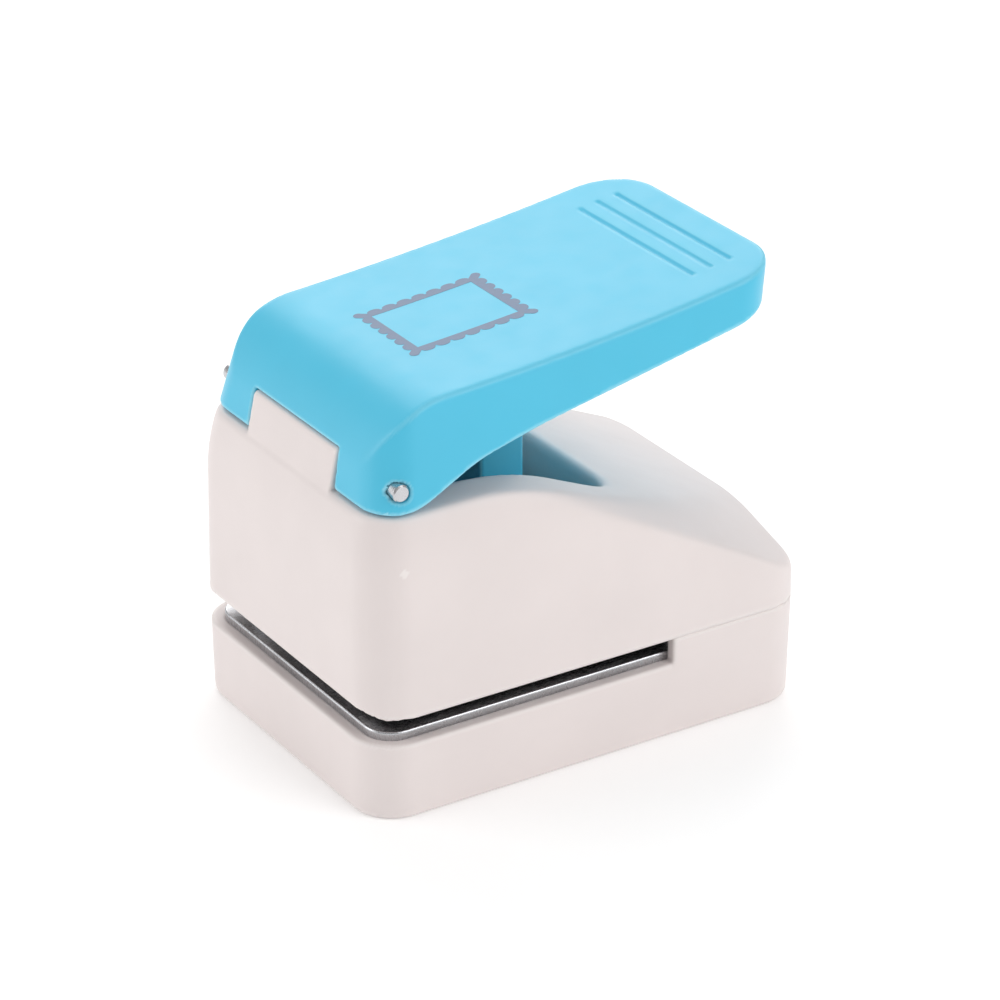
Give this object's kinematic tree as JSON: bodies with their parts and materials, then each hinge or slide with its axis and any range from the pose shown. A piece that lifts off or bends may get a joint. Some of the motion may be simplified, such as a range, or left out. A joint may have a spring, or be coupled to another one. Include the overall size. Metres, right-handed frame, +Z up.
{
  "type": "craft punch",
  "caption": "Lever craft punch that cuts a perforated stamp outline: open paper slot, steel die set, sprung pusher and a hinged press lever over a rounded housing.",
  "frame": {"origin": "centre of the footprint, on the table", "axes": "+X from the hinge end to the press end of the lever, +Z up, Y = 0 is the middle plane"},
  "size_m": [0.086, 0.0606, 0.0799],
  "materials": {
    "body_plastic": "satin moulded, warm white",
    "lever_plastic": "satin moulded, sky blue",
    "pusher_plastic": "moulded, sky blue",
    "polished_steel": "ground and polished",
    "tool_steel": "hardened and ground",
    "rivet_steel": "plain",
    "pin_steel": "turned",
    "screw_steel": "zinc plated",
    "spring_steel": "drawn wire",
    "bush_brass": "turned"
  },
  "bodies": {
    "body": {"base": "body_plastic", "housing": "body_plastic", "die_plate": "polished_steel", "guide_plate": "polished_steel", "rear_spacer": "polished_steel", "die_set_rivets": "rivet_steel", "front_base_screws": "screw_steel", "rear_base_screws": "screw_steel", "guide_plate_screws": "screw_steel", "guide_post_left": "pin_steel", "guide_post_right": "pin_steel", "post_clips": "spring_steel", "spring_washers": "screw_steel", "return_spring_left": "spring_steel", "return_spring_right": "spring_steel"},
    "lever": {"lever": "lever_plastic", "hinge_pin": "pin_steel"},
    "pusher": {"pusher": "pusher_plastic", "pusher_bush_left": "bush_brass", "pusher_bush_right": "bush_brass", "cutter": "tool_steel", "cutter_screws": "screw_steel"}
  },
  "joints": [
    {"name": "lever_hinge", "type": "hinge", "parent": "body", "child": "lever", "pos_m": [-0.036, 0, 0.058], "axis": [0, 1, 0], "range_deg": [0, 14], "stiffness_Nm_per_rad": 1.4, "springref_deg": -9.74},
    {"name": "pusher_slide", "type": "slide", "parent": "body", "child": "pusher", "axis": [0, 0, -1], "range_m": [0, 0.0075], "deforming": ["return_spring_left", "return_spring_right"]}
  ],
  "couplings": [
    {"joint": "pusher_slide", "follows": "lever_hinge", "m_per_rad": 0.03}
  ]
}
